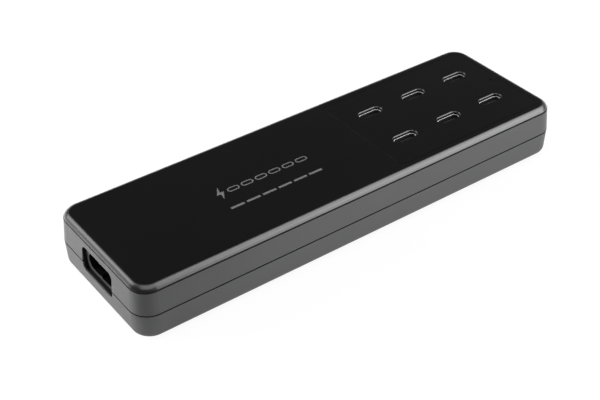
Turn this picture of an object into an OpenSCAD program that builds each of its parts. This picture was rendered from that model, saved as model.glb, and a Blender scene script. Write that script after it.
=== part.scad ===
// Flat desktop phone charger with upright oval sockets in its top and a two-pin mains inlet.
// X runs along the length, from the inlet end to the light end. The origin is on the surface the
// charger stands on, below the middle of the case.

/* [Case outline] */
// Length of the case over its end faces, at the middle seam
case_l = 168; // [165.5:0.5:190]
// Width of the case over its long faces, at the middle seam
case_w = 52; // [51:0.5:60]
// Corner radius of the case in plan, at the middle seam
case_corner_r = 6.6; // [5:0.1:7.5]
// Height of the lower wall, from the underside to the middle seam
lower_wall_h = 9.3; // [8.9:0.1:12]
// Height of the upper wall, from the middle seam to the top seam
upper_wall_h = 8.1; // [7.7:0.1:11]
// Inward lean of the lower wall, in degrees
lower_draft = 2.5; // [0.5:0.5:4]
// Inward lean of the upper wall, in degrees
upper_draft = 5; // [1:0.5:6]
// Radius of the bottom edge
bottom_edge_r = 2.5; // [1:0.1:3]
// Height of the shadow gap at the middle seam
seam_gap = 0.3; // [0.1:0.05:0.5]

/* [Case walls] */
// Wall thickness of both case halves at the middle seam
case_wall = 2.2; // [2:0.1:2.6]
// Thickness of the lower case floor
floor_t = 2; // [1.6:0.1:2.4]
// Thickness of the upper case deck
deck_t = 1.5; // [1.2:0.1:1.8]
// Height of the tongue that the lower case sends into the upper case
tongue_h = 1.4; // [0.8:0.1:2]
// Free space beside the tongue
tongue_gap = 0.1; // [0.05:0.01:0.2]

/* [Top cover] */
// Height from the top seam to the top face
cover_rise = 2; // [1.8:0.1:2.4]
// Thickness of the cover plate
cover_t = 1.4; // [1.2:0.1:1.6]
// Radius of the rounded edge band
cover_edge_r = 2.7; // [2.5:0.1:4]
// Corner radius of the cover in plan
cover_corner_r = 6.5; // [5.5:0.1:7.5]
// Distance that the cover stands proud of the upper wall
cover_lip = 0.25; // [0:0.05:0.4]
// Height of the shadow gap at the top seam
cover_gap = 0.25; // [0.1:0.05:0.3]
// Thickness of the cover's skirt
skirt_t = 1.6; // [1.2:0.1:2]
// Free space between the skirt and the deck
skirt_gap = 0.15; // [0.05:0.05:0.3]
// Diameter of the cover's locating pegs
peg_d = 2; // [1.5:0.1:2.4]
// Length of the cover's locating pegs
peg_l = 1.1; // [0.6:0.1:1.3]
// Distance from the cover's edge to its locating pegs
peg_inset = 4.2; // [3.8:0.1:4.6]

/* [Port panel] */
// Distance from the edge of the flat top to the panel
panel_margin = 1.5; // [1:0.1:3]
// Length of the panel
panel_l = 62.5; // [61:0.5:66]
// Corner radius of the panel
panel_corner_r = 2.4; // [1:0.1:3]
// Width of the groove round the panel
panel_groove = 0.12; // [0.05:0.01:0.3]

/* [Ports] */
// Distance from the light end of the case to the last pair of ports
port_end_offset = 16.4; // [15.5:0.1:18]
// Distance between neighbouring ports along the length
port_pitch = 19.4; // [18.8:0.1:19.8]
// Distance between the two rows of ports
port_row_pitch = 18.6; // [17:0.1:20]
// Long side of a port's mouth in the panel
mouth_w = 9.4; // [9.2:0.05:10]
// Short side of a port's mouth in the panel
mouth_h = 3.5; // [3.4:0.05:4]
// Bevel round a port's mouth
mouth_bevel = 0.25; // [0.1:0.05:0.4]
// Long side of a port's metal shell
shell_w = 8.94; // [8.7:0.02:9]
// Short side of a port's metal shell
shell_h = 3.26; // [3.1:0.02:3.3]
// Sheet thickness of the metal shell
shell_t = 0.3; // [0.2:0.05:0.4]
// Length of the metal shell
shell_l = 9.2; // [8.8:0.1:9.5]
// Depth of the shell's rim below the top face
shell_recess = 1; // [0.6:0.1:1.3]
// Width of the contact tongue
blade_w = 6.69; // [6:0.01:7]
// Thickness of the contact tongue
blade_t = 0.7; // [0.5:0.05:0.9]
// Depth of the tongue's tip below the shell's rim
blade_recess = 0.8; // [0.4:0.1:1.5]
// Height of the insulator block at the foot of the tongue
block_h = 2.5; // [1.5:0.1:3.5]
// Free space between the insulator and the shell
block_gap = 0.05; // [0.02:0.01:0.1]

/* [Status light] */
// Distance from the light end of the case to the pinhole
light_end_offset = 7.3; // [7:0.1:9]
// Diameter of the pinhole
pinhole_d = 1.2; // [0.8:0.1:1.6]
// Diameter of the light pipe's stem
pipe_d = 3.2; // [2.4:0.1:3.6]
// Diameter of the light pipe's collar
pipe_collar_d = 5; // [4.4:0.1:5.6]
// Thickness of the light pipe's collar
pipe_collar_t = 1; // [0.6:0.1:1.4]
// Depth of the pipe's tip below the top face
pipe_recess = 0.3; // [0.1:0.1:0.6]
// Free space round the light pipe
pipe_gap = 0.05; // [0.02:0.01:0.1]
// Height of the light source
led_h = 1.1; // [0.6:0.1:2]

/* [Mains inlet] */
// Width of the inlet's opening in the case
inlet_w = 18.2; // [17.9:0.1:19]
// Height of the inlet's opening in the case
inlet_h = 9.1; // [8.9:0.1:9.6]
// Corner radius of the inlet's opening
inlet_corner_r = 2; // [1:0.1:3]
// Height of the opening's centre above the middle seam
inlet_rise = 1.55; // [1.3:0.05:1.8]
// Depth of the inlet's face below the end of the case
inlet_recess = 1.5; // [1:0.1:1.8]
// Free space between the inlet's nose and the opening
inlet_gap = 0.5; // [0.2:0.05:0.6]
// Width of the shoulder behind the nose
inlet_shoulder = 1.0; // [0.6:0.1:1.0]
// Depth of the inlet block inside the case
inlet_d = 12; // [11:0.1:12.4]
// Depth of the figure-8 cavity
cavity_d = 9.8; // [9:0.1:10.5]
// Wall thickness of the inlet's nose round the cavity
nose_wall = 1.3; // [1:0.05:1.4]
// Height of the cavity's waist, between the tips of its two fins
waist_h = 4.3; // [4.1:0.1:5]
// Distance between the two pins
pin_pitch = 8.6; // [8.4:0.1:8.8]
// Diameter of the pins
pin_d = 2.36; // [2.2:0.02:2.5]
// Diameter of the pins where the block holds them
pin_root_d = 2; // [1.6:0.1:2.1]
// Depth of the pins' tips below the inlet's face
pin_recess = 2; // [0.8:0.1:2.4]

/* [Fasteners and feet] */
// Distance from the end of the case to the case screws
screw_end_offset = 9; // [8.5:0.1:9.4]
// Distance from the side of the case to the case screws
screw_side_offset = 8.5; // [8:0.1:9]
// Diameter of the case screws
screw_d = 2.4; // [2:0.1:2.6]
// Length of the case screws under the head
screw_l = 12; // [9:0.5:12]
// Diameter of the case screw heads
screw_head_d = 4.4; // [4:0.1:4.6]
// Height of the case screw heads
screw_head_h = 1.6; // [1.2:0.1:1.8]
// Free space round a screw's shank
screw_gap = 0.05; // [0.03:0.01:0.1]
// Outer diameter of the case's screw bosses
boss_d = 6.6; // [6.2:0.1:7]
// Depth of the screw head's seat above the foot recess
seat_depth = 2.6; // [2.2:0.1:3]
// Diameter of the rubber feet
foot_d = 8; // [7:0.1:9]
// Height that the feet stand proud of the underside
foot_proud = 0.6; // [0.4:0.1:1.2]
// Depth of the recess that holds a foot
foot_recess = 1; // [0.6:0.1:1.2]
// Free space round a foot
foot_gap = 0.15; // [0.05:0.05:0.3]

/* [Circuit boards] */
// Thickness of the circuit boards
board_t = 1.6; // [1.2:0.1:1.6]
// Free space between the main board and the side walls
board_edge_gap = 1.2; // [0.6:0.1:2]
// Height of the posts below the main board
post_h = 2.6; // [2.2:0.1:2.8]
// Outer diameter of the board posts
post_d = 5; // [4:0.1:5.4]
// Distance from a board's edge to its screws
board_screw_inset = 3.5; // [3:0.1:4]
// Diameter of the board screws
board_screw_d = 1.9; // [1.6:0.1:2.2]
// Length of the board screws under the head
board_screw_l = 3.8; // [3:0.1:3.9]
// Diameter of the board screw heads
board_head_d = 3.8; // [3:0.1:4]
// Height of the board screw heads
board_head_h = 1.3; // [0.8:0.1:1.3]
// Thickness of the insulating sheet
sheet_t = 0.3; // [0.1:0.05:0.4]
// Width of the link between the two boards
link_l = 24; // [16:0.5:25]
// Thickness of the link between the two boards
link_t = 2.5; // [2:0.1:3]

/* [Mains filter parts] */
// Diameter of the fuse
fuse_d = 8.4; // [7:0.1:8.6]
// Height of the fuse
fuse_h = 7.6; // [6:0.1:9]
// Diameter of the varistor disc
varistor_d = 8.6; // [7:0.1:9]
// Thickness of the varistor disc
varistor_t = 4; // [3:0.1:5]
// Width of the film capacitor, across the board
film_w = 18; // [15:0.1:18.4]
// Length of the film capacitor, along the board
film_l = 8; // [6:0.1:8.4]
// Height of the film capacitor
film_h = 9.4; // [8:0.1:9.5]
// Outer diameter of the choke's ring core
choke_d = 14; // [12:0.1:14.2]
// Inner diameter of the choke's ring core
choke_bore = 8; // [7:0.1:9]
// Height of the choke's ring core
choke_h = 5; // [4:0.1:6]
// Thickness of the choke's winding
choke_wire = 1.1; // [0.8:0.1:1.2]

/* [Power parts] */
// Height of the rectifier and the transistors
chip_h = 1.4; // [0.8:0.1:1.6]
// Width of the square rectifier and power transistors
chip_w = 7; // [6:0.1:7.5]
// Width of the heat sink
sink_w = 11.5; // [9:0.1:12]
// Height of the heat sink
sink_h = 8; // [5:0.1:8.1]
// Thickness of the heat sink's base
sink_base = 1.8; // [1.2:0.1:2.5]
// Thickness of the heat sink's fins
fin_t = 1; // [0.6:0.1:1.2]
// Diameter of the bulk capacitors
bulk_d = 12.5; // [11:0.1:12.6]
// Distance from the bulk capacitors' crimp to their lead end
crimp_inset = 3; // [2:0.1:4]
// Height of the bulk capacitors' axes above the board
bulk_lift = 2.8; // [2:0.1:3]

/* [Transformer] */
// Length of the transformer core, along the board
core_l = 18; // [16:0.1:18.2]
// Width of the transformer core, across the board
core_w = 26; // [25:0.1:26.4]
// Thickness of the core's plates
core_plate = 2.8; // [2:0.1:3]
// Height of the core's winding window
core_window = 6.9; // [6:0.1:7.2]
// Diameter of the core's round middle post
core_post_d = 10; // [8:0.1:10.4]
// Thickness of the bobbin's tube and flanges
bobbin_t = 0.8; // [0.6:0.1:1]
// Outer diameter of the winding
winding_d = 20; // [16:0.1:20.2]
// Width of the bobbin's pin rails
rail_w = 1.8; // [1.2:0.1:2]
// Free space between neighbouring transformer parts
winding_gap = 0.1; // [0.05:0.01:0.2]

/* [Output parts] */
// Diameter of the output capacitors
output_d = 6.3; // [5:0.1:7]
// Height of the output capacitors
output_h = 8; // [6:0.1:9]
// Length of the optocoupler, along the board
opto_l = 4.6; // [4:0.1:6]
// Width of the optocoupler, across the board
opto_w = 6.4; // [5:0.1:7]
// Height of the optocoupler
opto_h = 3.4; // [2:0.1:4]
// Diameter of the safety capacitor's disc
safety_d = 7; // [6:0.1:8]
// Thickness of the safety capacitor's disc
safety_t = 3.2; // [2.5:0.1:4]
// Width of the square inductors
inductor_w = 6.6; // [5:0.1:7]
// Height of the inductors
inductor_h = 4.8; // [3:0.1:5.5]
// Width of the square converter chips
converter_w = 6; // [4:0.1:6.4]

/* [Hidden] */
$fn = 72;

// Overrun of a cutting body past the face that it opens
over = 1;

// Heights of the case
z_under = foot_proud;
z_floor = z_under + floor_t;
z_seam = z_under + lower_wall_h;
z_shoulder = z_seam + upper_wall_h;
z_top = z_shoulder + cover_rise;
z_deck = z_top - cover_t;
z_ceiling = z_deck - deck_t;

// Ends and sides of the case
x_inlet = -case_l / 2;
x_light = case_l / 2;
y_side = case_w / 2;

// Cover outline: its edge stands proud of the top of the leaning upper wall
upper_lean = upper_wall_h * tan(upper_draft);
cover_inset = upper_lean - cover_lip;
cover_l = case_l - 2 * cover_inset;
cover_w = case_w - 2 * cover_inset;
edge_angle = acos(1 - cover_rise / cover_edge_r);
edge_run = cover_edge_r * sin(edge_angle);
deck_l = cover_l - 2 * (skirt_t + skirt_gap);
deck_w = cover_w - 2 * (skirt_t + skirt_gap);
deck_corner_r = cover_corner_r - skirt_t - skirt_gap;
peg_x = cover_l / 2 - peg_inset;
peg_y = cover_w / 2 - peg_inset;
peg_gap = 0.05;

// Panel
flat_end = cover_l / 2 - edge_run;
panel_w = cover_w - 2 * (edge_run + panel_margin);
panel_x1 = flat_end - panel_margin;
panel_x = panel_x1 - panel_l / 2;

// Ports: numbers 1 to 3 run along the near row, 4 to 6 along the far row
PORT_COLUMNS = 3;
function port_x(index) = x_light - port_end_offset
    - (PORT_COLUMNS - 1 - (index - 1) % PORT_COLUMNS) * port_pitch;
function port_y(index) = (index <= PORT_COLUMNS ? -1 : 1) * port_row_pitch / 2;
function between_x(index) = port_x(index) - port_pitch / 2;
shell_clear = 0.6;
z_rim = z_top - shell_recess;
x_pinhole = x_light - light_end_offset;

// Port board
z_port_board = z_rim - shell_l - board_t;
z_port_top = z_port_board + board_t;
inductor_margin = 1.8;
port_board_x0 = between_x(1) - inductor_w / 2 - inductor_margin;
port_board_x1 = x_light - case_wall - board_edge_gap;
board_w = case_w - 2 * (case_wall + board_edge_gap);
board_screw_y = board_w / 2 - board_screw_inset;

// Mains inlet
z_inlet = z_seam + inlet_rise;
inlet_face_x = x_inlet + inlet_recess;
inlet_wall_x = x_inlet + case_wall;
inlet_rear_x = inlet_wall_x + inlet_d;
nose_w = inlet_w - 2 * inlet_gap;
nose_h = inlet_h - 2 * inlet_gap;
nose_r = inlet_corner_r - inlet_gap;
cavity_w = nose_w - 2 * nose_wall;
cavity_h = nose_h - 2 * nose_wall;
inlet_body_w = inlet_w + 2 * inlet_shoulder;
cradle_gap = 0.1;
inlet_body_h = min(inlet_h + 2 * inlet_shoulder, 2 * (z_ceiling - z_inlet - cradle_gap));
stop_t = 1;
tail_t = 0.8;

// Main board and the row of parts along it, counted from its inlet end
z_board = z_floor + post_h;
z_parts = z_board + board_t;
board_stop_gap = 0.4;
main_board_x0 = inlet_rear_x + stop_t + 2 * cradle_gap + board_stop_gap;
part_gap = 1;
filter_inset = 5.2;
filter_x = main_board_x0 + filter_inset + film_l / 2;
choke_x = filter_x + max(film_l, fuse_d) / 2 + part_gap + choke_d / 2 + choke_wire;
bulk_x0 = choke_x + choke_d / 2 + choke_wire + part_gap;
main_board_x1 = port_board_x0 - part_gap;
transformer_x = main_board_x1 - 4 * part_gap - rail_w - core_l / 2;
transformer_x0 = transformer_x - core_l / 2 - rail_w;
bulk_l = transformer_x0 - 2 * part_gap - bulk_x0;
tongue_reach = 8;
tongue_x1 = port_board_x0 + tongue_reach;
tongue_w = link_l + 2 * part_gap;
link_x = port_board_x0 + tongue_reach / 2;
main_screw_x = [main_board_x0 + board_screw_inset, main_board_x1 - board_screw_inset];
port_screw_x = [
    port_board_x0 + board_screw_inset,
    x_light - screw_end_offset - boss_d - board_screw_inset
];
fuse_y = -film_w / 2 - fuse_d / 2 - 2 * part_gap;
varistor_y = film_w / 2 + varistor_d / 2 + 2 * part_gap;
choke_y = -12;
bulk_y = [-bulk_d - part_gap, 0];
bulk_chord = sqrt(pow(bulk_d / 2, 2) - pow(bulk_lift, 2));
bulk_cut_gap = 0.1;
lead_r = 0.4;
sink_x0 = filter_x + film_l / 2 + part_gap;
sink_l = transformer_x0 - 2 * part_gap - sink_x0;
sink_gap = 2.5;
sink_y = bulk_y[1] + bulk_d / 2 + sink_gap + sink_w / 2;
chip_pitch = (sink_l - chip_w) / 2;
side_y = core_w / 2 + part_gap;
core_cut_gap = 0.3;
z_core = z_parts - winding_gap - core_plate;
z_core_split = z_core + core_plate + core_window / 2;
bobbin_r = core_post_d / 2 + winding_gap;
window_r = winding_d / 2 + 3 * winding_gap;
case_screw_x = case_l / 2 - screw_end_offset;
case_screw_y = y_side - screw_side_offset;
z_screw_seat = z_under + foot_recess + seat_depth;

// Colours
CASE_GREY = [0.17, 0.17, 0.175];
COVER_BLACK = [0.06, 0.06, 0.065];
STEEL = [0.75, 0.76, 0.78];
BOARD_GREEN = [0.05, 0.3, 0.16];

// Rounded rectangle, centred
module rounded_rect(l, w, r) {
    square([l - 2 * r, w], center = true);
    square([l, w - 2 * r], center = true);
    for (sx = [-1, 1], sy = [-1, 1])
        translate([sx * (l / 2 - r), sy * (w / 2 - r)])
            circle(r);
}

// Oblong with full round ends, centred, long side along X
module oblong(w, h) {
    square([w - h, h], center = true);
    for (side = [-1, 1])
        translate([side * (w - h) / 2, 0])
            circle(h / 2);
}

// Carries a wall section round a rounded rectangle. The section is drawn with x measured
// outwards from the line of the corner centres, and y upwards.
module ring(l, w, r) {
    x = l / 2 - r;
    y = w / 2 - r;
    for (turn = [0, 180])
        rotate([0, 0, turn]) {
            translate([-x, y, 0])
                rotate([90, 0, 90])
                    linear_extrude(2 * x)
                        children();
            rotate([0, 0, 90])
                translate([-y, x, 0])
                    rotate([90, 0, 90])
                        linear_extrude(2 * y)
                            children();
            translate([x, y, 0])
                rotate_extrude(angle = 90)
                    children();
            translate([-x, y, 0])
                rotate([0, 0, 90])
                    rotate_extrude(angle = 90)
                        children();
        }
}

// Flat plate inside the ring of corner centres
module middle_plate(l, w, r, z, t) {
    translate([r - l / 2, r - w / 2, z])
        cube([l - 2 * r, w - 2 * r, t]);
}

// Places a child at each of the four case screws
module at_case_screws() {
    for (sx = [-1, 1], sy = [-1, 1])
        translate([sx * case_screw_x, sy * case_screw_y, 0])
            children();
}

// Places a child at each screw of the main board
module at_main_screws() {
    for (x = main_screw_x, sy = [-1, 1])
        translate([x, sy * board_screw_y, 0])
            children();
}

// Places a child at each screw of the port board
module at_port_screws() {
    for (x = port_screw_x, sy = [-1, 1])
        translate([x, sy * board_screw_y, 0])
            children();
}

// Places a child at each port
module at_ports() {
    for (index = [1 : 2 * PORT_COLUMNS])
        translate([port_x(index), port_y(index), 0])
            children();
}

// Solid that cuts the inlet's opening through the end wall
module inlet_opening() {
    translate([x_inlet - over, 0, z_inlet])
        rotate([90, 0, 90])
            linear_extrude(case_wall + 2 * over)
                rounded_rect(inlet_w, inlet_h, inlet_corner_r);
}

// Section of the lower case: floor, leaning outer face, round bottom edge and inner tongue
module lower_section() {
    r = case_corner_r;
    lean = tan(lower_draft);
    z_outer = z_seam - seam_gap / 2;
    edge_z = z_under + bottom_edge_r;
    edge_x = r - (z_seam - edge_z) * lean - bottom_edge_r / cos(lower_draft);
    end_x = edge_x + bottom_edge_r * cos(lower_draft);
    end_z = edge_z - bottom_edge_r * sin(lower_draft);
    difference() {
        union() {
            polygon([
                [0, z_under],
                [edge_x, z_under],
                [end_x, end_z],
                [r - seam_gap / 2 * lean, z_outer],
                [r - case_wall / 2, z_outer],
                [r - case_wall / 2, z_seam + tongue_h],
                [0, z_seam + tongue_h]
            ]);
            intersection() {
                translate([edge_x, edge_z])
                    circle(bottom_edge_r);
                translate([edge_x, z_under])
                    square([bottom_edge_r, end_z - z_under]);
            }
        }
        translate([-over, z_floor])
            square([r - case_wall + over, lower_wall_h + tongue_h]);
    }
}

// Post that carries a board, bored for its screw
module board_post(top) {
    difference() {
        translate([0, 0, z_floor])
            cylinder(d = post_d, h = top - z_floor);
        translate([0, 0, top + board_t - board_screw_l - screw_gap])
            cylinder(d = board_screw_d + 2 * screw_gap, h = board_screw_l + over);
    }
}

module lower_case() {
    color(CASE_GREY)
        difference() {
            union() {
                ring(case_l, case_w, case_corner_r)
                    lower_section();
                middle_plate(case_l, case_w, case_corner_r, z_under, floor_t);
                at_case_screws()
                    translate([0, 0, z_floor])
                        cylinder(d = boss_d, h = z_seam - z_floor);
                at_main_screws()
                    board_post(z_board);
                at_port_screws()
                    board_post(z_port_board);
                inlet_cradle();
            }
            inlet_opening();
            at_case_screws()
                lower_screw_way();
        }
}

// Foot recess, screw head seat and shank hole of one case screw
module lower_screw_way() {
    translate([0, 0, z_under - over])
        cylinder(d = foot_d + 2 * foot_gap, h = foot_recess + over);
    translate([0, 0, z_under])
        cylinder(d = screw_head_d + 4 * foot_gap, h = foot_recess + seat_depth);
    translate([0, 0, z_under])
        cylinder(d = screw_d + 4 * screw_gap, h = lower_wall_h + over);
}

// Two rails under the inlet block and the stop behind it
module inlet_cradle() {
    cradle_h = z_inlet - inlet_body_h / 2 - z_floor;
    for (side = [-1, 1])
        translate([inlet_wall_x + stop_t, side * inlet_body_w / 3 - stop_t / 2, z_floor])
            cube([inlet_d - stop_t, stop_t, cradle_h]);
    translate([inlet_rear_x + cradle_gap, -inlet_body_w / 3, z_floor])
        cube([stop_t, 2 * inlet_body_w / 3, z_inlet - pin_d - z_floor]);
}

// Section of the upper case: leaning wall above the tongue, and the full width of the deck
module upper_section() {
    r = case_corner_r;
    z_outer = z_seam + seam_gap / 2;
    inner = r - case_wall / 2 + tongue_gap;
    polygon([
        [inner, z_outer],
        [r - seam_gap / 2 * tan(upper_draft), z_outer],
        [r - upper_lean, z_shoulder],
        [0, z_shoulder],
        [0, z_ceiling],
        [r - case_wall, z_ceiling],
        [r - case_wall, z_seam + tongue_h],
        [inner, z_seam + tongue_h]
    ]);
}

module upper_case() {
    color(CASE_GREY)
        difference() {
            union() {
                ring(case_l, case_w, case_corner_r)
                    upper_section();
                middle_plate(case_l, case_w, case_corner_r, z_ceiling, z_shoulder - z_ceiling);
                translate([0, 0, z_ceiling])
                    linear_extrude(z_deck - z_ceiling)
                        rounded_rect(deck_l, deck_w, deck_corner_r);
                at_case_screws()
                    translate([0, 0, z_seam])
                        cylinder(d = boss_d, h = z_ceiling - z_seam);
            }
            inlet_opening();
            at_ports()
                translate([0, 0, z_ceiling - over])
                    linear_extrude(deck_t + 2 * over)
                        oblong(shell_w + 2 * shell_clear, shell_h + 2 * shell_clear);
            translate([x_pinhole, 0, z_ceiling - over])
                cylinder(d = pipe_d + 2 * pipe_gap, h = deck_t + 2 * over);
            at_case_screws()
                translate([0, 0, z_seam - over])
                    cylinder(
                        d = screw_d + 2 * screw_gap,
                        h = z_screw_seat + screw_l - z_seam + 2 * over
                    );
            at_pegs()
                translate([0, 0, z_deck - peg_l - peg_gap])
                    cylinder(d = peg_d + 2 * peg_gap, h = peg_l + over);
        }
}

// Places a child at each locating peg of the cover
module at_pegs() {
    for (sx = [-1, 1], sy = [-1, 1])
        translate([sx * peg_x, sy * peg_y, 0])
            children();
}

// Section of the top cover: plate, rounded edge band and short skirt
module cover_section() {
    z_skirt = z_shoulder + cover_gap;
    arc_x = cover_corner_r - edge_run;
    difference() {
        intersection() {
            translate([0, z_skirt])
                square([cover_corner_r, z_top - z_skirt]);
            union() {
                translate([0, z_skirt])
                    square([arc_x, z_top - z_skirt]);
                translate([arc_x, z_top - cover_edge_r])
                    circle(cover_edge_r);
            }
        }
        translate([-over, z_skirt - over])
            square([cover_corner_r - skirt_t + over, z_deck - z_skirt + over]);
    }
}

module top_cover() {
    color(COVER_BLACK)
        difference() {
            union() {
                ring(cover_l, cover_w, cover_corner_r)
                    cover_section();
                middle_plate(cover_l, cover_w, cover_corner_r, z_deck, cover_t);
                at_pegs()
                    translate([0, 0, z_deck - peg_l])
                        cylinder(d = peg_d, h = peg_l + cover_t / 2);
            }
            translate([panel_x, 0, z_deck - over])
                linear_extrude(cover_t + 2 * over)
                    rounded_rect(
                        panel_l + 2 * panel_groove,
                        panel_w + 2 * panel_groove,
                        panel_corner_r + panel_groove
                    );
        }
}

// Bevelled oblong hole through the panel: straight way, and a bevel of two cones and a wedge
module port_mouth() {
    straight = mouth_w - mouth_h;
    half = mouth_h / 2;
    translate([0, 0, z_deck - over])
        linear_extrude(cover_t + 2 * over)
            oblong(mouth_w, mouth_h);
    translate([0, 0, z_top - mouth_bevel]) {
        for (side = [-1, 1])
            translate([side * straight / 2, 0, 0])
                cylinder(r1 = half, r2 = half + 2 * mouth_bevel, h = 2 * mouth_bevel);
        translate([-straight / 2, 0, 0])
            rotate([90, 0, 90])
                linear_extrude(straight)
                    polygon([
                        [-half, 0],
                        [half, 0],
                        [half + 2 * mouth_bevel, 2 * mouth_bevel],
                        [-half - 2 * mouth_bevel, 2 * mouth_bevel]
                    ]);
    }
}

module port_panel() {
    color(COVER_BLACK)
        difference() {
            translate([panel_x, 0, z_deck])
                linear_extrude(cover_t)
                    rounded_rect(panel_l, panel_w, panel_corner_r);
            at_ports()
                port_mouth();
            translate([x_pinhole, 0, z_deck - over])
                cylinder(d = pinhole_d, h = cover_t + 2 * over);
        }
}

// Rubber foot with a rounded lower edge
module rubber_foot(sx, sy) {
    round_r = foot_proud / 2;
    color([0.1, 0.1, 0.1])
        translate([sx * case_screw_x, sy * case_screw_y, 0])
            rotate_extrude() {
                square([foot_d / 2 - round_r, foot_proud + foot_recess]);
                translate([0, round_r])
                    square([foot_d / 2, foot_proud + foot_recess - round_r]);
                translate([foot_d / 2 - round_r, round_r])
                    circle(round_r);
            }
}

// Case screw: domed head below its seat, shank above it, and a cross recess
module case_screws() {
    slot_w = screw_head_d / 6;
    slot_l = screw_head_d * 0.6;
    color(STEEL)
        at_case_screws()
            translate([0, 0, z_screw_seat])
                difference() {
                    union() {
                        cylinder(d = screw_d, h = screw_l);
                        translate([0, 0, -screw_head_h])
                            cylinder(d1 = screw_head_d * 0.8, d2 = screw_head_d, h = screw_head_h);
                    }
                    for (turn = [0, 90])
                        rotate([0, 0, turn])
                            translate([-slot_l / 2, -slot_w / 2, -screw_head_h - over])
                                cube([slot_l, slot_w, screw_head_h / 2 + over]);
                }
}

// Figure-8 outline of the inlet's cavity: an oblong with a pointed fin above and below
module cavity_outline() {
    fin_h = (cavity_h - waist_h) / 2;
    difference() {
        oblong(cavity_w, cavity_h);
        for (side = [-1, 1])
            polygon([
                [0, side * waist_h / 2],
                [fin_h + over, side * (cavity_h / 2 + over)],
                [-fin_h - over, side * (cavity_h / 2 + over)]
            ]);
    }
}

module inlet_body() {
    color([0.08, 0.08, 0.085])
        translate([0, 0, z_inlet])
            difference() {
                union() {
                    translate([inlet_face_x, 0, 0])
                        rotate([90, 0, 90])
                            linear_extrude(inlet_wall_x - inlet_face_x + over)
                                rounded_rect(nose_w, nose_h, nose_r);
                    translate([inlet_wall_x, -inlet_body_w / 2, -inlet_body_h / 2])
                        cube([inlet_d, inlet_body_w, inlet_body_h]);
                }
                translate([inlet_face_x - over, 0, 0])
                    rotate([90, 0, 90])
                        linear_extrude(cavity_d + over)
                            cavity_outline();
                for (side = [-1, 1])
                    translate([inlet_face_x, side * pin_pitch / 2, 0])
                        rotate([0, 90, 0])
                            cylinder(d = pin_root_d + 2 * screw_gap, h = inlet_d + 2 * over);
            }
}

// Round pin with a domed tip, its thinner root through the block, and the tail down to the board
module inlet_pin(side) {
    tip_x = inlet_face_x + pin_recess;
    contact_l = cavity_d - pin_recess;
    tail_x = main_board_x0 + 1.5 * part_gap;
    color(STEEL)
        translate([0, side * pin_pitch / 2, z_inlet]) {
            translate([tip_x, 0, 0])
                rotate([0, 90, 0])
                    rotate_extrude() {
                        intersection() {
                            square([pin_d / 2, pin_d]);
                            translate([0, pin_d / 2])
                                circle(pin_d / 2);
                        }
                        translate([0, pin_d / 2])
                            square([pin_d / 2, contact_l - pin_d / 2]);
                        translate([0, contact_l - over])
                            square([pin_root_d / 2, tail_x - tip_x - contact_l + over]);
                    }
            translate([tail_x - tail_t, -pin_root_d / 2, z_parts - z_inlet])
                cube([tail_t, pin_root_d, z_inlet - z_parts]);
        }
}

// Outline of the main board, with its tongue below the port board
module main_board_outline() {
    translate([main_board_x0, -board_w / 2])
        square([main_board_x1 - main_board_x0, board_w]);
    translate([main_board_x1 - over, -tongue_w / 2])
        square([tongue_x1 - main_board_x1 + over, tongue_w]);
}

module main_board() {
    color(BOARD_GREEN)
        translate([0, 0, z_board])
            difference() {
                linear_extrude(board_t)
                    difference() {
                        main_board_outline();
                        for (y = bulk_y)
                            translate([bulk_x0 - bulk_cut_gap, y - bulk_chord - bulk_cut_gap])
                                square([bulk_l + 2 * bulk_cut_gap, 2 * (bulk_chord + bulk_cut_gap)]);
                        translate([transformer_x, 0])
                            square([core_l + 2 * core_cut_gap, core_w + 2 * core_cut_gap], center = true);
                    }
                at_main_screws()
                    translate([0, 0, -over])
                        cylinder(d = board_screw_d + 2 * screw_gap, h = board_t + 2 * over);
            }
}

// Board with the sockets, notched at its outer corners for the bosses of the case screws
module port_board() {
    notch_x = case_screw_x - boss_d / 2 - part_gap;
    notch_y = case_screw_y - boss_d / 2 - part_gap;
    color(BOARD_GREEN)
        translate([0, 0, z_port_board])
            difference() {
                translate([port_board_x0, -board_w / 2, 0])
                    cube([port_board_x1 - port_board_x0, board_w, board_t]);
                at_port_screws()
                    translate([0, 0, -over])
                        cylinder(d = board_screw_d + 2 * screw_gap, h = board_t + 2 * over);
                for (side = [0, 1])
                    mirror([0, side, 0])
                        translate([notch_x, notch_y, -over])
                            cube([board_w, board_w, board_t + 2 * over]);
            }
}

module insulating_sheet() {
    color([0.85, 0.82, 0.7])
        translate([0, 0, z_floor])
            difference() {
                translate([main_board_x0, -board_w / 2, 0])
                    cube([main_board_x1 - main_board_x0, board_w, sheet_t]);
                at_main_screws()
                    translate([0, 0, -over])
                        cylinder(d = post_d + 2 * cradle_gap, h = sheet_t + 2 * over);
            }
}

module board_screw(z) {
    translate([0, 0, z - board_screw_l])
        cylinder(d = board_screw_d, h = board_screw_l);
    translate([0, 0, z])
        cylinder(d1 = board_head_d, d2 = board_head_d * 0.8, h = board_head_h);
}

module board_screws() {
    color(STEEL) {
        at_main_screws()
            board_screw(z_parts);
        at_port_screws()
            board_screw(z_port_top);
    }
}

module link_header() {
    color([0.12, 0.12, 0.12])
        translate([link_x - link_t / 2, -link_l / 2, z_parts])
            cube([link_t, link_l, z_port_board - z_parts]);
}

module fuse() {
    step = 0.5;
    color([0.15, 0.13, 0.12])
        translate([filter_x, fuse_y, z_parts])
            rotate_extrude() {
                square([fuse_d / 2, fuse_h - step]);
                square([fuse_d / 2 - step, fuse_h]);
            }
}

// Disc part standing on its edge, with its rim rounded
module standing_disc(d, t) {
    rim = t / 2;
    rotate_extrude() {
        translate([0, -rim])
            square([d / 2 - rim, t]);
        intersection() {
            translate([d / 2 - rim, 0])
                circle(rim);
            translate([0, -rim])
                square([d / 2, t]);
        }
    }
}

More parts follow.
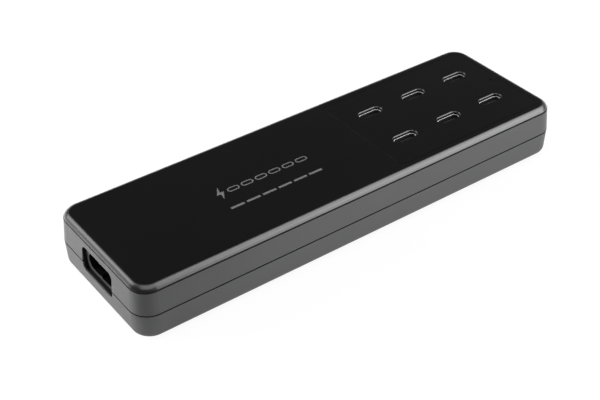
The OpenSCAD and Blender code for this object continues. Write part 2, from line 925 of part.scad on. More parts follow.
// Two leads from a standing disc down to the board
module disc_leads(d) {
    for (side = [-1, 1])
        translate([side * d / 4, 0, -d / 2])
            cylinder(r = lead_r, h = d / 4);
}

module varistor() {
    color([0.1, 0.25, 0.6])
        translate([filter_x, varistor_y, z_parts + varistor_d / 2]) {
            rotate([0, 90, 0])
                standing_disc(varistor_d, varistor_t);
            rotate([0, 0, 90])
                disc_leads(varistor_d);
        }
}

module x_capacitor() {
    edge = 0.6;
    color([0.85, 0.65, 0.1])
        translate([filter_x, 0, z_parts])
            linear_extrude(film_h)
                rounded_rect(film_l, film_w, edge);
}

module choke_core() {
    color([0.25, 0.27, 0.28])
        translate([choke_x, choke_y, z_parts + choke_wire + winding_gap])
            difference() {
                cylinder(d = choke_d, h = choke_h);
                translate([0, 0, -over])
                    cylinder(d = choke_bore, h = choke_h + 2 * over);
            }
}

// Two halves of the winding, wrapped round the ring core
module choke_winding() {
    turn_angle = 130;
    inner = choke_bore / 2 - winding_gap;
    ring_w = (choke_d - choke_bore) / 2 + 2 * winding_gap;
    color([0.72, 0.4, 0.2])
        translate([choke_x, choke_y, z_parts])
            for (start = [-turn_angle / 2, 180 - turn_angle / 2])
                rotate([0, 0, start])
                    rotate_extrude(angle = turn_angle)
                        difference() {
                            translate([inner - choke_wire, 0])
                                square([
                                    ring_w + 2 * choke_wire,
                                    choke_h + 2 * (choke_wire + winding_gap)
                                ]);
                            translate([inner, choke_wire])
                                square([ring_w, choke_h + 2 * winding_gap]);
                        }
}

// Flat package under the heat sink, counted from the sink's inlet end
module cooled_chip(place) {
    translate([sink_x0 + place * chip_pitch, sink_y - chip_w / 2, z_parts])
        cube([chip_w, chip_w, chip_h]);
}

module bridge_rectifier() {
    color([0.1, 0.1, 0.1])
        cooled_chip(0);
}

module power_transistor(index) {
    color([0.12, 0.12, 0.12])
        cooled_chip(index);
}

// Extruded comb of fins on a base that lies on the power parts
module heat_sink() {
    fins = 5;
    pitch = (sink_w - fin_t) / (fins - 1);
    color([0.7, 0.71, 0.73])
        translate([sink_x0, sink_y, z_parts + chip_h])
            rotate([90, 0, 90])
                linear_extrude(sink_l) {
                    translate([-sink_w / 2, 0])
                        square([sink_w, sink_base]);
                    for (i = [0 : fins - 1])
                        translate([-sink_w / 2 + i * pitch, 0])
                            square([fin_t, sink_h]);
                }
}

// Can lying in its cut-out, with a crimped groove near its lead end and two bent leads
module bulk_capacitor(index) {
    r = bulk_d / 2;
    groove_x = bulk_l - crimp_inset;
    groove_r = crimp_inset / 4;
    color([0.1, 0.12, 0.2])
        translate([bulk_x0, bulk_y[index - 1], z_parts + bulk_lift]) {
            rotate([0, 90, 0])
                rotate_extrude()
                    difference() {
                        square([r, bulk_l]);
                        translate([r + groove_r / 2, groove_x])
                            circle(groove_r);
                    }
            for (side = [-1, 1])
                translate([bulk_l - over, side * bulk_d / 5, 0]) {
                    rotate([0, 90, 0])
                        cylinder(r = lead_r, h = over + part_gap);
                    translate([over + part_gap, 0, -bulk_lift])
                        cylinder(r = lead_r, h = bulk_lift + lead_r);
                }
        }
}

// Half of the transformer core, drawn with its plate below: plate, middle post and side legs
module core_half() {
    reach = core_window / 2;
    difference() {
        translate([-core_l / 2, -core_w / 2, 0])
            cube([core_l, core_w, core_plate + reach]);
        translate([0, 0, core_plate])
            difference() {
                union() {
                    cylinder(r = window_r, h = reach + over);
                    translate([-core_l, -core_w / 4, 0])
                        cube([2 * core_l, core_w / 2, reach + over]);
                }
                translate([0, 0, -over])
                    cylinder(d = core_post_d, h = reach + 2 * over);
            }
    }
}

module transformer_core_lower() {
    color([0.2, 0.2, 0.22])
        translate([transformer_x, 0, z_core])
            core_half();
}

module transformer_core_upper() {
    color([0.2, 0.2, 0.22])
        translate([transformer_x, 0, 2 * z_core_split - z_core])
            rotate([180, 0, 0])
                core_half();
}

// Bobbin: tube round the post, two flanges, and a bar whose ends carry the pins outside the core
module transformer_bobbin() {
    bobbin_h = core_window - 2 * winding_gap;
    bar_l = core_l + 2 * rail_w;
    bar_w = core_w / 2 - 2 * winding_gap;
    color([0.1, 0.1, 0.11])
        translate([transformer_x, 0, z_parts])
            difference() {
                union() {
                    cylinder(r = bobbin_r + bobbin_t, h = bobbin_h);
                    for (z = [0, bobbin_h - bobbin_t])
                        translate([0, 0, z])
                            cylinder(d = winding_d, h = bobbin_t);
                    translate([-bar_l / 2, -bar_w / 2, 0])
                        cube([bar_l, bar_w, bobbin_t]);
                }
                translate([0, 0, -over])
                    cylinder(r = bobbin_r, h = bobbin_h + 2 * over);
            }
}

module transformer_winding() {
    height = core_window - 2 * (bobbin_t + 2 * winding_gap);
    color([0.75, 0.6, 0.2])
        translate([transformer_x, 0, z_parts + bobbin_t + winding_gap])
            difference() {
                cylinder(d = winding_d, h = height);
                translate([0, 0, -over])
                    cylinder(r = bobbin_r + bobbin_t + winding_gap, h = height + 2 * over);
            }
}

module y_capacitor() {
    color([0.1, 0.3, 0.65])
        translate([
            transformer_x - (core_l - safety_d) / 2,
            -side_y - safety_t / 2,
            z_parts + safety_d / 2
        ]) {
            rotate([90, 0, 0])
                standing_disc(safety_d, safety_t);
            disc_leads(safety_d);
        }
}

module optocoupler() {
    color([0.9, 0.9, 0.88])
        translate([transformer_x + part_gap, -side_y - opto_w, z_parts])
            cube([opto_l, opto_w, opto_h]);
}

module output_capacitor(index) {
    step = 0.4;
    color([0.78, 0.79, 0.8])
        translate([
            transformer_x - core_l / 2 + output_d / 2 + (index - 1) * (output_d + part_gap),
            side_y + output_d / 2,
            z_parts
        ])
            rotate_extrude() {
                square([output_d / 2, output_h - step]);
                square([output_d / 2 - step, output_h]);
            }
}

// Folded metal shell of one port
module port_shell(index) {
    color(STEEL)
        translate([port_x(index), port_y(index), z_port_top])
            linear_extrude(shell_l)
                difference() {
                    oblong(shell_w, shell_h);
                    oblong(shell_w - 2 * shell_t, shell_h - 2 * shell_t);
                }
}

// Insulator of one port: block at the foot and the contact tongue in the middle
module port_tongue(index) {
    inner_w = shell_w - 2 * (shell_t + block_gap);
    inner_h = shell_h - 2 * (shell_t + block_gap);
    color([0.05, 0.05, 0.05])
        translate([port_x(index), port_y(index), z_port_top]) {
            linear_extrude(block_h)
                oblong(inner_w, inner_h);
            translate([-blade_w / 2, -blade_t / 2, 0])
                cube([blade_w, blade_t, shell_l - blade_recess]);
        }
}

module inductor(index) {
    corner = 1;
    color([0.3, 0.3, 0.31])
        translate([between_x(index), port_y(index), z_port_top])
            linear_extrude(inductor_h)
                rounded_rect(inductor_w, inductor_w, corner);
}

module converter_chip(index) {
    color([0.08, 0.08, 0.08])
        translate([between_x(index) - converter_w / 2, -converter_w / 2, z_port_top])
            cube([converter_w, converter_w, chip_h]);
}

module status_led() {
    led_l = 3.2;
    led_w = 1.6;
    color([0.9, 0.95, 0.9])
        translate([x_pinhole - led_l / 2, -led_w / 2, z_port_top])
            cube([led_l, led_w, led_h]);
}

// Light pipe: stem over the light source, collar under the deck, and a nib in the pinhole
module light_pipe() {
    z_foot = z_port_top + led_h + 4 * pipe_gap;
    nib_d = pinhole_d - 2 * pipe_gap;
    color([0.8, 0.85, 0.9])
        translate([x_pinhole, 0, 0]) {
            translate([0, 0, z_foot])
                cylinder(d = pipe_d, h = z_deck - z_foot);
            translate([0, 0, z_ceiling - pipe_collar_t])
                cylinder(d = pipe_collar_d, h = pipe_collar_t);
            translate([0, 0, z_deck - over])
                cylinder(d = nib_d, h = z_top - pipe_recess - z_deck + over);
        }
}

lower_case();
upper_case();
top_cover();
port_panel();
rubber_foot(-1, -1);  // rubber_foot_1
rubber_foot(1, -1);  // rubber_foot_2
rubber_foot(-1, 1);  // rubber_foot_3
rubber_foot(1, 1);  // rubber_foot_4
case_screws();
inlet_body();
inlet_pin(-1);  // inlet_pin_1
inlet_pin(1);  // inlet_pin_2
main_board();
port_board();
insulating_sheet();
board_screws();
link_header();
fuse();
varistor();
x_capacitor();
choke_core();
choke_winding();
bridge_rectifier();
heat_sink();
transformer_core_lower();
transformer_core_upper();
transformer_bobbin();
transformer_winding();
y_capacitor();
optocoupler();
for (index = [1 : 2]) {
    power_transistor(index);
    bulk_capacitor(index);
    output_capacitor(index);
}
for (index = [1 : PORT_COLUMNS])
    converter_chip(index);
for (index = [1 : 2 * PORT_COLUMNS]) {
    port_shell(index);
    port_tongue(index);
    inductor(index);
}
status_led();
light_pipe();
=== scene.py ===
"""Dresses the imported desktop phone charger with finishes, print, contacts and a white studio.

Everything is in metres in the CAD frame: X along the case from the mains inlet to the light,
Y across it, Z up from the surface that it stands on.
"""

import logging
import math
from collections.abc import Iterable, Sequence
from dataclasses import dataclass, replace
from enum import Enum
from functools import reduce

import bpy
import numpy as np
from mathutils import Matrix
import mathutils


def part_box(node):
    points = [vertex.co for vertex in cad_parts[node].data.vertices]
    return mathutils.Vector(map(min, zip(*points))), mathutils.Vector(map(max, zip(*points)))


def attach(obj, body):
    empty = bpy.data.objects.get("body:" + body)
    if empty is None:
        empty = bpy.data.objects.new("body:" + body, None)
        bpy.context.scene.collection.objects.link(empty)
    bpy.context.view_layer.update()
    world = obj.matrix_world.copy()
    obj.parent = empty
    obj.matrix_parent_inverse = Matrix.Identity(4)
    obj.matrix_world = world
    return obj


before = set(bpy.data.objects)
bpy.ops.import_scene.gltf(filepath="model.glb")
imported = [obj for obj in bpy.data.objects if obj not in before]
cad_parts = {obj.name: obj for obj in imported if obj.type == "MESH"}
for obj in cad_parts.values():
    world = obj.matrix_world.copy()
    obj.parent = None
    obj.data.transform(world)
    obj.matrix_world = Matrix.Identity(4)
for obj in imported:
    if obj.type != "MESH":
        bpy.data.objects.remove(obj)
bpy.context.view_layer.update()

LOG = logging.getLogger("charger")
BODY = "root"
MM = 0.001

Colour = tuple[float, float, float]
Vector = tuple[float, float, float]
Span = tuple[float, float]
Grid = np.ndarray

WHITE: Colour = (1.0, 1.0, 1.0)


class Axis(Enum):
    """An axis of the frame, by its place in a vector."""

    X = 0
    Y = 1
    Z = 2


class Ray(Enum):
    """A kind of ray, by the name of its Light Path output."""

    CAMERA = "Is Camera Ray"
    GLOSSY = "Is Glossy Ray"
    TRANSMISSION = "Is Transmission Ray"


@dataclass(frozen=True)
class PaintedShadeBox:
    """A box in which light or shade is painted on a surface in a matte colour, open along an axis
    with no span.
    """

    x: Span | None = None
    y: Span | None = None
    z: Span | None = None


class Wire:
    """A number on its way through a shader: each operator adds the Math node it stands for."""

    def __init__(self, bench: "ShaderBench", socket: bpy.types.NodeSocket) -> None:
        """Remembers the socket and the bench that it belongs to."""
        self.bench = bench
        self.socket = socket

    def _math(self, operation: str, *values: "Wire | float") -> "Wire":
        """Result of one Math node of this operation, given its values in order."""
        made = self.bench.node("ShaderNodeMath", {"operation": operation}, dict(enumerate(values)))
        return Wire(self.bench, made.outputs[0])

    def __add__(self, other: "Wire | float") -> "Wire":
        """Sum."""
        return self._math("ADD", self, other)

    __radd__ = __add__

    def __mul__(self, other: "Wire | float") -> "Wire":
        """Product."""
        return self._math("MULTIPLY", self, other)

    __rmul__ = __mul__

    def __sub__(self, other: "Wire | float") -> "Wire":
        """Difference."""
        return self._math("SUBTRACT", self, other)

    def __rsub__(self, other: float) -> "Wire":
        """Difference from a plain number."""
        return self._math("SUBTRACT", other, self)

    def __abs__(self) -> "Wire":
        """Distance from zero."""
        return self._math("ABSOLUTE", self)

    def sine(self) -> "Wire":
        """Sine of an angle in radians."""
        return self._math("SINE", self)

    def larger(self, other: "Wire | float") -> "Wire":
        """The larger of two values."""
        return self._math("MAXIMUM", self, other)

    def ramp(self, low: float, high: float) -> "Wire":
        """Smooth step.

        Args:
            low: The value that becomes 0.
            high: The value that becomes 1.

        Returns:
            The stepped value.
        """
        made = self.bench.node(
            "ShaderNodeMapRange",
            {"interpolation_type": "SMOOTHSTEP"},
            {"Value": self, "From Min": low, "From Max": high},
        )
        return Wire(self.bench, made.outputs[0])


class ShaderBench:
    """Builds the node tree of one material or world."""

    def __init__(self, owner: bpy.types.Material | bpy.types.World) -> None:
        """Starts an empty tree.

        Args:
            owner: The material or world.
        """
        self.owner = owner
        owner.use_nodes = True
        self.tree = owner.node_tree
        self.tree.nodes.clear()

    def node(
        self, kind: str, settings: dict[str, object], values: dict[int | str, object]
    ) -> bpy.types.Node:
        """Adds any node.

        Args:
            kind: The node's type name.
            settings: Attributes, which are set first.
            values: A number, colour, socket or Wire for each input, by name or place.

        Returns:
            The new node.
        """
        made = self.tree.nodes.new(kind)
        for key, value in settings.items():
            setattr(made, key, value)
        for key, value in values.items():
            target = made.inputs[key]
            source = value.socket if isinstance(value, Wire) else value
            if isinstance(source, bpy.types.NodeSocket):
                self.tree.links.new(source, target)
            elif isinstance(source, tuple) and target.type == "RGBA":
                target.default_value = (*source, 1.0)
            else:
                target.default_value = source
        return made

    def place(self, stretch: Vector = (1.0, 1.0, 1.0)) -> bpy.types.NodeSocket:
        """Object coordinates in metres, scaled along X, Y and Z."""
        values = {0: self.node("ShaderNodeTexCoord", {}, {}).outputs["Object"], 1: stretch}
        return self.node("ShaderNodeVectorMath", {"operation": "MULTIPLY"}, values).outputs[0]

    def coordinate(self, axis: Axis) -> Wire:
        """One Object coordinate in metres."""
        parts = self.node("ShaderNodeSeparateXYZ", {}, {0: self.place()})
        return Wire(self, parts.outputs[axis.value])

    def inside(self, shade_box: PaintedShadeBox, blur: float = 0.03 * MM) -> Wire:
        """One inside a box and zero outside it: the product of a step for each pair of faces.

        Args:
            shade_box: The box where shade, or a light line, is painted.
            blur: Width of the change at its faces.

        Returns:
            The product.
        """
        steps = []
        for axis, span in zip(Axis, (shade_box.x, shade_box.y, shade_box.z)):
            if span is not None:
                middle, half = (span[0] + span[1]) / 2, (span[1] - span[0]) / 2
                steps.append(1.0 - abs(self.coordinate(axis) - middle).ramp(half, half + blur))
        return reduce(Wire.__mul__, steps)

    def grain(
        self, per_metre: float, detail: float = 3.0, stretch: Vector = (1.0, 1.0, 1.0)
    ) -> Wire:
        """Soft noise about 0.5, from its grains in a metre, its finer layers and its scale."""
        values = {"Vector": self.place(stretch), "Scale": per_metre, "Detail": detail}
        return Wire(self, self.node("ShaderNodeTexNoise", {}, values).outputs[0])

    def cells(self, per_metre: float) -> Wire:
        """Distance to the nearest of many scattered points, in cells."""
        values = {"Vector": self.place(), "Scale": per_metre}
        return Wire(self, self.node("ShaderNodeTexVoronoi", {}, values).outputs[0])

    def ray(self, kind: Ray) -> Wire:
        """One for rays of this kind and zero for others."""
        return Wire(self, self.node("ShaderNodeLightPath", {}, {}).outputs[kind.value])

    def seen(self) -> Wire:
        """One for rays that show the background, from the camera or through clear plastic."""
        return self.ray(Ray.CAMERA).larger(self.ray(Ray.TRANSMISSION))

    def blend(
        self, factor: Wire, low: Colour | bpy.types.NodeSocket, high: Colour
    ) -> bpy.types.NodeSocket:
        """Mixes two colours, of which factor 0 gives the first and 1 the second."""
        made = self.node("ShaderNodeMix", {"data_type": "RGBA"}, {0: factor, 6: low, 7: high})
        return made.outputs[2]

    def relief(self, height: Wire, depth: float) -> bpy.types.NodeSocket:
        """Normal of a relief, whose height of 1 stands for a depth in metres."""
        values = {"Strength": 1.0, "Distance": depth, "Height": height}
        return self.node("ShaderNodeBump", {}, values).outputs[0]

    def principled(self, values: dict[str, object]) -> bpy.types.Node:
        """The Principled shader."""
        return self.node("ShaderNodeBsdfPrincipled", {}, values)

    def matte(self, colour: Colour) -> bpy.types.Node:
        """A plain dull shader."""
        return self.node("ShaderNodeBsdfDiffuse", {}, {"Color": colour})

    def layered(self, factor: Wire, low: bpy.types.Node, high: bpy.types.Node) -> bpy.types.Node:
        """Mixes two shaders, of which factor 0 shows the first and 1 the second."""
        values = {0: factor, 1: low.outputs[0], 2: high.outputs[0]}
        return self.node("ShaderNodeMixShader", {}, values)

    def close(
        self, shader: bpy.types.Node, output: str = "ShaderNodeOutputMaterial"
    ) -> bpy.types.Material | bpy.types.World:
        """Joins the last shader to the output, which finishes the material or world."""
        self.node(output, {}, {"Surface": shader.outputs[0]})
        return self.owner


def shade_of(colour: Colour, factor: float) -> Colour:
    """A lighter or darker version of a colour."""
    return tuple(min(1.0, part * factor) for part in colour)


@dataclass(frozen=True)
class Finish:
    """What each finish states: its name, colour and gloss."""

    name: str
    colour: Colour
    roughness: float

    def surface(self, bench: ShaderBench) -> bpy.types.Node:
        """Builds the finish's shader, and returns its last node."""
        raise NotImplementedError

    def material(self) -> bpy.types.Material:
        """Builds the material."""
        bench = ShaderBench(bpy.data.materials.new(self.name))
        return bench.close(self.surface(bench))


@dataclass(frozen=True)
class MouldedPlastic(Finish):
    """Moulded plastic with an eroded grain, uneven gloss, and boxes of painted light and shade."""

    specular: float = 0.5
    grain_per_metre: float = 2600.0
    grain_depth: float = 0.004 * MM
    grain_gloss: float = 0.05
    clouds_per_metre: float = 60.0
    cloud_gloss: float = 0.06
    mottle: float = 0.06
    coat: float = 0.0
    coat_roughness: float = 0.3
    coat_ior: float = 1.5
    # Boxes where shade, or a light line, is painted in a matte colour, and the factor on the
    # finish's colour there.
    painted_shade_boxes: tuple[PaintedShadeBox, ...] = ()
    painted_shade_factor: float = 0.2

    def coat_weight(self, bench: ShaderBench) -> Wire | float:
        """Weight of the glossy layer."""
        return self.coat

    def surface(self, bench: ShaderBench) -> bpy.types.Node:
        """Grain in the relief, broad clouds in the gloss and faint clouds in the colour.

        In the boxes of painted light and shade, such as the shadow line of a seam, a matte shader
        takes over whose painted colour is the finish's own times a factor.

        Args:
            bench: The material's bench.

        Returns:
            The last shader node.
        """
        clouds = bench.grain(self.clouds_per_metre, detail=2.0)
        fine = bench.grain(self.grain_per_metre, detail=4.0)
        relief = bench.relief(fine, self.grain_depth)
        shades = (shade_of(self.colour, 1.0 + side * self.mottle) for side in (-1, 1))
        uneven = (clouds - 0.5) * self.cloud_gloss + (fine - 0.5) * self.grain_gloss
        shader = bench.principled(
            {
                "Base Color": bench.blend(clouds, *shades),
                "Roughness": uneven + self.roughness,
                "Specular IOR Level": self.specular,
                "Coat Weight": self.coat_weight(bench),
                "Coat Roughness": self.coat_roughness,
                "Coat IOR": self.coat_ior,
                "Normal": relief,
                "Coat Normal": relief,
            }
        )
        if not self.painted_shade_boxes:
            return shader
        # Painted shade and light: inside the boxes a matte shader in a painted colour replaces the
        # finish.
        in_painted_shade = reduce(Wire.larger, [bench.inside(shade_box) for shade_box in self.painted_shade_boxes])
        return bench.layered(in_painted_shade, shader, bench.matte(shade_of(self.colour, self.painted_shade_factor)))


@dataclass(frozen=True)
class EdgePolished(MouldedPlastic):
    """Black plastic with a dull flat face, and a glossy coat on all that lies below that face.

    The coat thins out between the two depths of fade.
    """

    face_z: float = 20.0 * MM
    fade: Span = (0.12 * MM, 0.01 * MM)

    def coat_weight(self, bench: ShaderBench) -> Wire:
        """Full below the flat face and none on it."""
        flat = bench.coordinate(Axis.Z).ramp(*(self.face_z - depth for depth in self.fade))
        return (1.0 - flat) * self.coat


@dataclass(frozen=True)
class Metal(Finish):
    """Plated or drawn metal with fine streaks along one direction."""

    streak: Vector = (1.0, 1.0, 0.06)
    streaks_per_metre: float = 4000.0
    streak_depth: float = 0.002 * MM
    streak_gloss: float = 0.16
    tarnish_per_metre: float = 500.0
    tarnish_shade: float = 0.88

    def surface(self, bench: ShaderBench) -> bpy.types.Node:
        """Streaks in the relief and gloss, and a faint tarnish in the colour.

        Args:
            bench: The material's bench.

        Returns:
            The last shader node.
        """
        lines = bench.grain(self.streaks_per_metre, stretch=self.streak)
        tarnish = bench.grain(self.tarnish_per_metre)
        dim = shade_of(self.colour, self.tarnish_shade)
        return bench.principled(
            {
                "Base Color": bench.blend(tarnish, dim, self.colour),
                "Metallic": 1.0,
                "Roughness": (lines - 0.5) * self.streak_gloss + self.roughness,
                "Normal": bench.relief(lines, self.streak_depth),
            }
        )


@dataclass(frozen=True)
class CutEdge(Metal):
    """Dark plated sheet whose cut upper edge is bare and bright.

    The plating ends between the two depths of edge_fade below the edge.
    """

    edge_z: float = 19.0 * MM
    edge_fade: Span = (0.1 * MM, 0.025 * MM)
    edge: Colour = (0.85, 0.85, 0.86)
    edge_dulling: float = 0.3
    plated_metallic: float = 0.9

    def surface(self, bench: ShaderBench) -> bpy.types.Node:
        """Colour, metal and gloss go from the plating to the bare edge by the height.

        Args:
            bench: The material's bench.

        Returns:
            The last shader node.
        """
        lines = bench.grain(self.streaks_per_metre, stretch=self.streak)
        bare = bench.coordinate(Axis.Z).ramp(*(self.edge_z - depth for depth in self.edge_fade))
        streaks = (lines - 0.5) * self.streak_gloss
        return bench.principled(
            {
                "Base Color": bench.blend(bare, self.colour, self.edge),
                "Metallic": bare * (1.0 - self.plated_metallic) + self.plated_metallic,
                "Roughness": bare * self.edge_dulling + streaks + self.roughness,
                "Normal": bench.relief(lines, self.streak_depth),
            }
        )


@dataclass(frozen=True)
class Speckled(Finish):
    """Sintered or dusty matter: rubber, ferrite and paper-like film."""

    fleck: Colour = (0.2, 0.2, 0.2)
    flecks_per_metre: float = 1800.0
    fleck_span: Span = (0.62, 0.76)
    fleck_gloss: float = 0.2
    depth: float = 0.01 * MM

    def surface(self, bench: ShaderBench) -> bpy.types.Node:
        """Small flecks where the noise is high, over a finely pitted surface.

        Args:
            bench: The material's bench.

        Returns:
            The last shader node.
        """
        noise = bench.grain(self.flecks_per_metre, detail=5.0)
        return bench.principled(
            {
                "Base Color": bench.blend(noise.ramp(*self.fleck_span), self.colour, self.fleck),
                "Roughness": (noise - 0.5) * self.fleck_gloss + self.roughness,
                "Normal": bench.relief(noise, self.depth),
            }
        )


@dataclass(frozen=True)
class Banded(Finish):
    """Wound wire or tape: even turns side by side along one axis."""

    axis: Axis = Axis.Z
    turn: float = 0.5 * MM
    groove_painted_shade: float = 0.35
    gloss_coat: float = 0.4
    haze_per_metre: float = 900.0
    haze: float = 0.2

    def surface(self, bench: ShaderBench) -> bpy.types.Node:
        """Each turn is the round half of a sine wave, a third as high as it is wide.

        The wave is the distance of sin(pi x / turn) from zero, and the colour is painted darker
        where it is low, as shade in the groove between two turns.

        Args:
            bench: The material's bench.

        Returns:
            The last shader node.
        """
        crest = abs((bench.coordinate(self.axis) * (math.pi / self.turn)).sine())
        # Painted shade in the groove between two turns.
        painted_groove = shade_of(self.colour, self.groove_painted_shade)
        return bench.principled(
            {
                "Base Color": bench.blend(crest, painted_groove, self.colour),
                "Roughness": bench.grain(self.haze_per_metre) * self.haze + self.roughness,
                "Coat Weight": self.gloss_coat,
                "Normal": bench.relief(crest, self.turn / 3),
            }
        )


@dataclass(frozen=True)
class CircuitBoard(Finish):
    """Green lacquer over copper tracks, with small tinned pads."""

    track: Colour = (0.07, 0.3, 0.12)
    tracks_per_metre: float = 420.0
    track_stretch: Vector = (1.0, 0.35, 1.0)
    track_span: Span = (0.02, 0.05)
    pad: Colour = (0.62, 0.6, 0.5)
    pads_per_metre: float = 340.0
    pad_span: Span = (0.1, 0.16)
    pad_metallic: float = 0.9
    pad_dulling: float = 0.1
    depth: float = 0.03 * MM

    def surface(self, bench: ShaderBench) -> bpy.types.Node:
        """Tracks follow the middle level of a broad noise, and pads the middles of small cells.

        Args:
            bench: The material's bench.

        Returns:
            The last shader node.
        """
        bands = bench.grain(self.tracks_per_metre, detail=0.0, stretch=self.track_stretch)
        tracks = 1.0 - abs(bands - 0.5).ramp(*self.track_span)
        pads = 1.0 - bench.cells(self.pads_per_metre).ramp(*self.pad_span)
        lacquer = bench.blend(tracks, self.colour, self.track)
        return bench.principled(
            {
                "Base Color": bench.blend(pads, lacquer, self.pad),
                "Metallic": pads * self.pad_metallic,
                "Roughness": pads * self.pad_dulling + self.roughness,
                "Normal": bench.relief(tracks.larger(pads), self.depth),
            }
        )


@dataclass(frozen=True)
class ClearPlastic(Finish):
    """Clear moulding that carries light."""

    transmission: float = 0.9
    ior: float = 1.49
    haze_per_metre: float = 700.0
    haze: float = 0.15

    def surface(self, bench: ShaderBench) -> bpy.types.Node:
        """Plain clear matter with a faint unevenness of gloss.

        Args:
            bench: The material's bench.

        Returns:
            The last shader node.
        """
        return bench.principled(
            {
                "Base Color": self.colour,
                "Roughness": bench.grain(self.haze_per_metre) * self.haze + self.roughness,
                "Transmission Weight": self.transmission,
                "IOR": self.ior,
            }
        )


@dataclass(frozen=True)
class SilverInk(Finish):
    """Pad printed silver ink with fine metal flakes."""

    flakes_per_metre: float = 5200.0
    flake_shades: Span = (0.75, 1.2)
    flake_gloss: float = 0.2
    flake_depth: float = 0.004 * MM
    metallic: float = 0.25

    def surface(self, bench: ShaderBench) -> bpy.types.Node:
        """Flakes lighten the colour and sharpen the gloss point by point.

        Args:
            bench: The material's bench.

        Returns:
            The last shader node.
        """
        flakes = bench.grain(self.flakes_per_metre, detail=2.0)
        shades = (shade_of(self.colour, shade) for shade in self.flake_shades)
        return bench.principled(
            {
                "Base Color": bench.blend(flakes, *shades),
                "Metallic": self.metallic,
                "Roughness": (0.5 - flakes) * self.flake_gloss + self.roughness,
                "Normal": bench.relief(flakes, self.flake_depth),
            }
        )


def closed_ring(loops: Grid) -> tuple[Grid, Grid]:
    """Joins loops into a closed ring, as on a torus.

    Point (i, j) joins point (i + 1, j) of the next loop and point (i, j + 1) of its own loop, and
    the last of each joins the first.

    Args:
        loops: Points as an array of loops by points by 3.

    Returns:
        The points in one list, and the four corners of each face.
    """
    rows, columns = loops.shape[:2]
    index = np.arange(rows * columns).reshape(rows, columns)
    ahead = np.roll(index, -1, axis=0)
    faces = np.stack([index, np.roll(index, -1, 1), np.roll(ahead, -1, 1), ahead], axis=-1)
    return loops.reshape(-1, 3), faces.reshape(-1, 4)


def oblong(width: float, height: float, points: int = 48) -> Grid:
    """Outline of an oblong with full round ends.

    A point at angle a is (w - h) / 2 times the sign of cos a along the width, plus h / 2 times
    (cos a, sin a).

    Args:
        width: The long side w.
        height: The short side h.
        points: Number of points.

    Returns:
        An array of points by 2.
    """
    angle = (np.arange(points) + 0.5) * 2 * np.pi / points
    x = (width - height) / 2 * np.sign(np.cos(angle)) + height / 2 * np.cos(angle)
    return np.column_stack([x, height / 2 * np.sin(angle)])


def bolt(height: float) -> Grid:
    """Outline of a plain lightning bolt.

    Args:
        height: From the lower tip to the top.

    Returns:
        An array of 6 points by 2, anticlockwise about the bolt's middle.
    """
    right = [[-0.10, -0.50], [0.24, 0.08], [0.02, 0.08]]
    left = [[0.12, 0.50], [-0.24, -0.06], [-0.01, -0.06]]
    return np.array(right + left) * height


def at_height(outline: Grid, height: float) -> Grid:
    """An outline's points at one height."""
    return np.column_stack([outline, np.full(len(outline), height)])


def row_along_x(x: Grid, y: float, z: float) -> Grid:
    """Points in a row along X."""
    return np.column_stack([x, np.full_like(x, y), np.full_like(x, z)])


def raised(outline: Grid, low: float, high: float) -> tuple[Grid, list[list[int]]]:
    """Upright plate: its outline at two heights, joined by sides and closed by two caps.

    Args:
        outline: Points by 2, anticlockwise.
        low: Height of its underside.
        high: Height of its top.

    Returns:
        Its points and faces.
    """
    count = len(outline)
    start = np.arange(count)
    ahead = np.roll(start, -1)
    sides = np.column_stack([start, ahead, ahead + count, start + count]).tolist()
    caps = [start[::-1].tolist(), (start + count).tolist()]
    return np.vstack([at_height(outline, low), at_height(outline, high)]), [*sides, *caps]


def upright_ring(outer: Grid, inner: Grid, low: float, high: float) -> tuple[Grid, Grid]:
    """Flat ring between two outlines with the same number of points.

    Its loops are the outer outline, low and high, and the inner outline, high and low.

    Args:
        outer: The outer outline.
        inner: The inner outline.
        low: Height of its underside.
        high: Height of its top.

    Returns:
        Its points and faces.
    """
    corners = [(outer, low), (outer, high), (inner, high), (inner, low)]
    return closed_ring(np.stack([at_height(outline, z) for outline, z in corners]))


def bars(middles: Grid, half: Grid) -> tuple[Grid, Grid]:
    """Many equal bars: each corner is the bar's middle plus or minus half along each axis.

    Args:
        middles: The bars' middles, bars by 3.
        half: Half of a bar's size along each axis.

    Returns:
        Their points and faces.
    """
    round_z = ((-1, -1), (1, -1), (1, 1), (-1, 1))
    signs = np.array([[x, y, z] for z in (-1, 1) for x, y in round_z])
    corners = (middles[:, None] + signs[None] * half).reshape(-1, 3)
    caps = [[3, 2, 1, 0], [4, 5, 6, 7]]
    sides = [[0, 1, 5, 4], [1, 2, 6, 5], [2, 3, 7, 6], [3, 0, 4, 7]]
    first = len(signs) * np.arange(len(middles))
    return corners, (np.array(caps + sides)[None] + first[:, None, None]).reshape(-1, 4)


def joined(parts: Iterable[tuple[Grid, Grid]]) -> tuple[Grid, Grid]:
    """Joins several surfaces into one list of points and one of faces.

    Args:
        parts: The points and faces of each surface, whose faces have the same number of corners.

    Returns:
        All points, and all faces counted on from surface to surface.
    """
    points: list[Grid] = []
    faces: list[Grid] = []
    count = 0
    for some_points, some_faces in parts:
        points.append(some_points)
        faces.append(some_faces + count)
        count += len(some_points)
    return np.vstack(points), np.vstack(faces)


def new_piece(
    name: str, points: Grid, faces: Sequence, finish: Finish, slot: str
) -> bpy.types.Object:
    """Makes one piece of the charger.

    Args:
        name: The piece's name.
        points: Its points, in metres in the CAD frame.
        faces: The corners of each face.
        finish: What it is made of.
        slot: Not used.

    Returns:
        The new object.
    """
    mesh = bpy.data.meshes.new(name)
    mesh.from_pydata(points.tolist(), [], faces)
    mesh.materials.append(finish.material())
    piece = bpy.data.objects.new(name, mesh)
    bpy.context.scene.collection.objects.link(piece)
    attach(piece, BODY)
    LOG.info("%s: %d points, %d faces", name, len(points), len(faces))
    return piece


